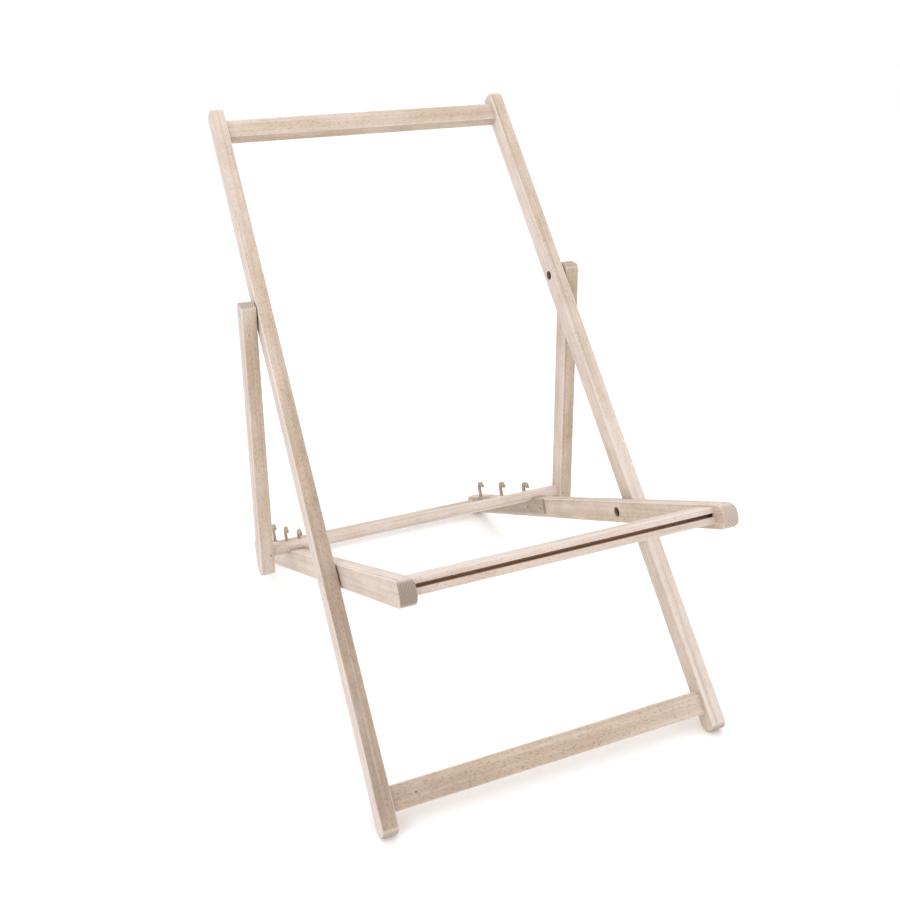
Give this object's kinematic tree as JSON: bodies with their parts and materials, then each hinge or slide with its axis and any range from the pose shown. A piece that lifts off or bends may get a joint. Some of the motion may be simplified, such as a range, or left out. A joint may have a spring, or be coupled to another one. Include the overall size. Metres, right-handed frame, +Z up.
{
  "type": "folding deckchair frame",
  "caption": "Folding beech deckchair frame without its sling, with a prop that sets the recline on moulded hook strips.",
  "frame": {"origin": "on the floor under the middle of the bounding box", "axes": "+Z up, +Y to the chair's rear, +X to the right as seen from the front"},
  "size_m": [0.609, 0.8434, 0.8862],
  "materials": {
    "beech": "bare, sanded pale beech",
    "hook_plastic": "satin beige moulding",
    "zinc_hardware": "bright zinc plate",
    "strip_screws": "dull plated",
    "nails": "dull steel"
  },
  "bodies": {
    "back_frame": {"back_stile_left": "beech", "back_stile_right": "beech", "back_top_bar": "beech", "back_bottom_slat": "beech", "back_slat_nail": "nails", "seat_pivot_bolts": "zinc_hardware", "seat_pivot_nuts": "zinc_hardware", "seat_pivot_washers": "zinc_hardware", "prop_pivot_bolts": "zinc_hardware", "prop_pivot_nuts": "zinc_hardware", "prop_pivot_washers": "zinc_hardware"},
    "seat_frame": {"seat_rail_left": "beech", "seat_rail_right": "beech", "seat_front_bar": "beech", "seat_rear_bar": "beech", "hook_strip_left": "hook_plastic", "hook_strip_right": "hook_plastic", "hook_strip_screws": "strip_screws"},
    "prop_frame": {"prop_leg_left": "beech", "prop_leg_right": "beech", "prop_dowel": "beech", "prop_dowel_nails": "nails"}
  },
  "joints": [
    {"name": "back_fold", "type": "hinge", "parent": "seat_frame", "child": "back_frame", "pos_m": [0, -0.15892, 0.2689], "axis": [1, 0, 0], "range_deg": [0, 102]},
    {"name": "prop_fold", "type": "hinge", "parent": "back_frame", "child": "prop_frame", "pos_m": [0, 0.12661, 0.59175], "axis": [1, 0, 0], "range_deg": [-37, 0]}
  ],
  "couplings": [
    {"joint": "prop_fold", "follows": "back_fold", "ratio": -0.36}
  ]
}
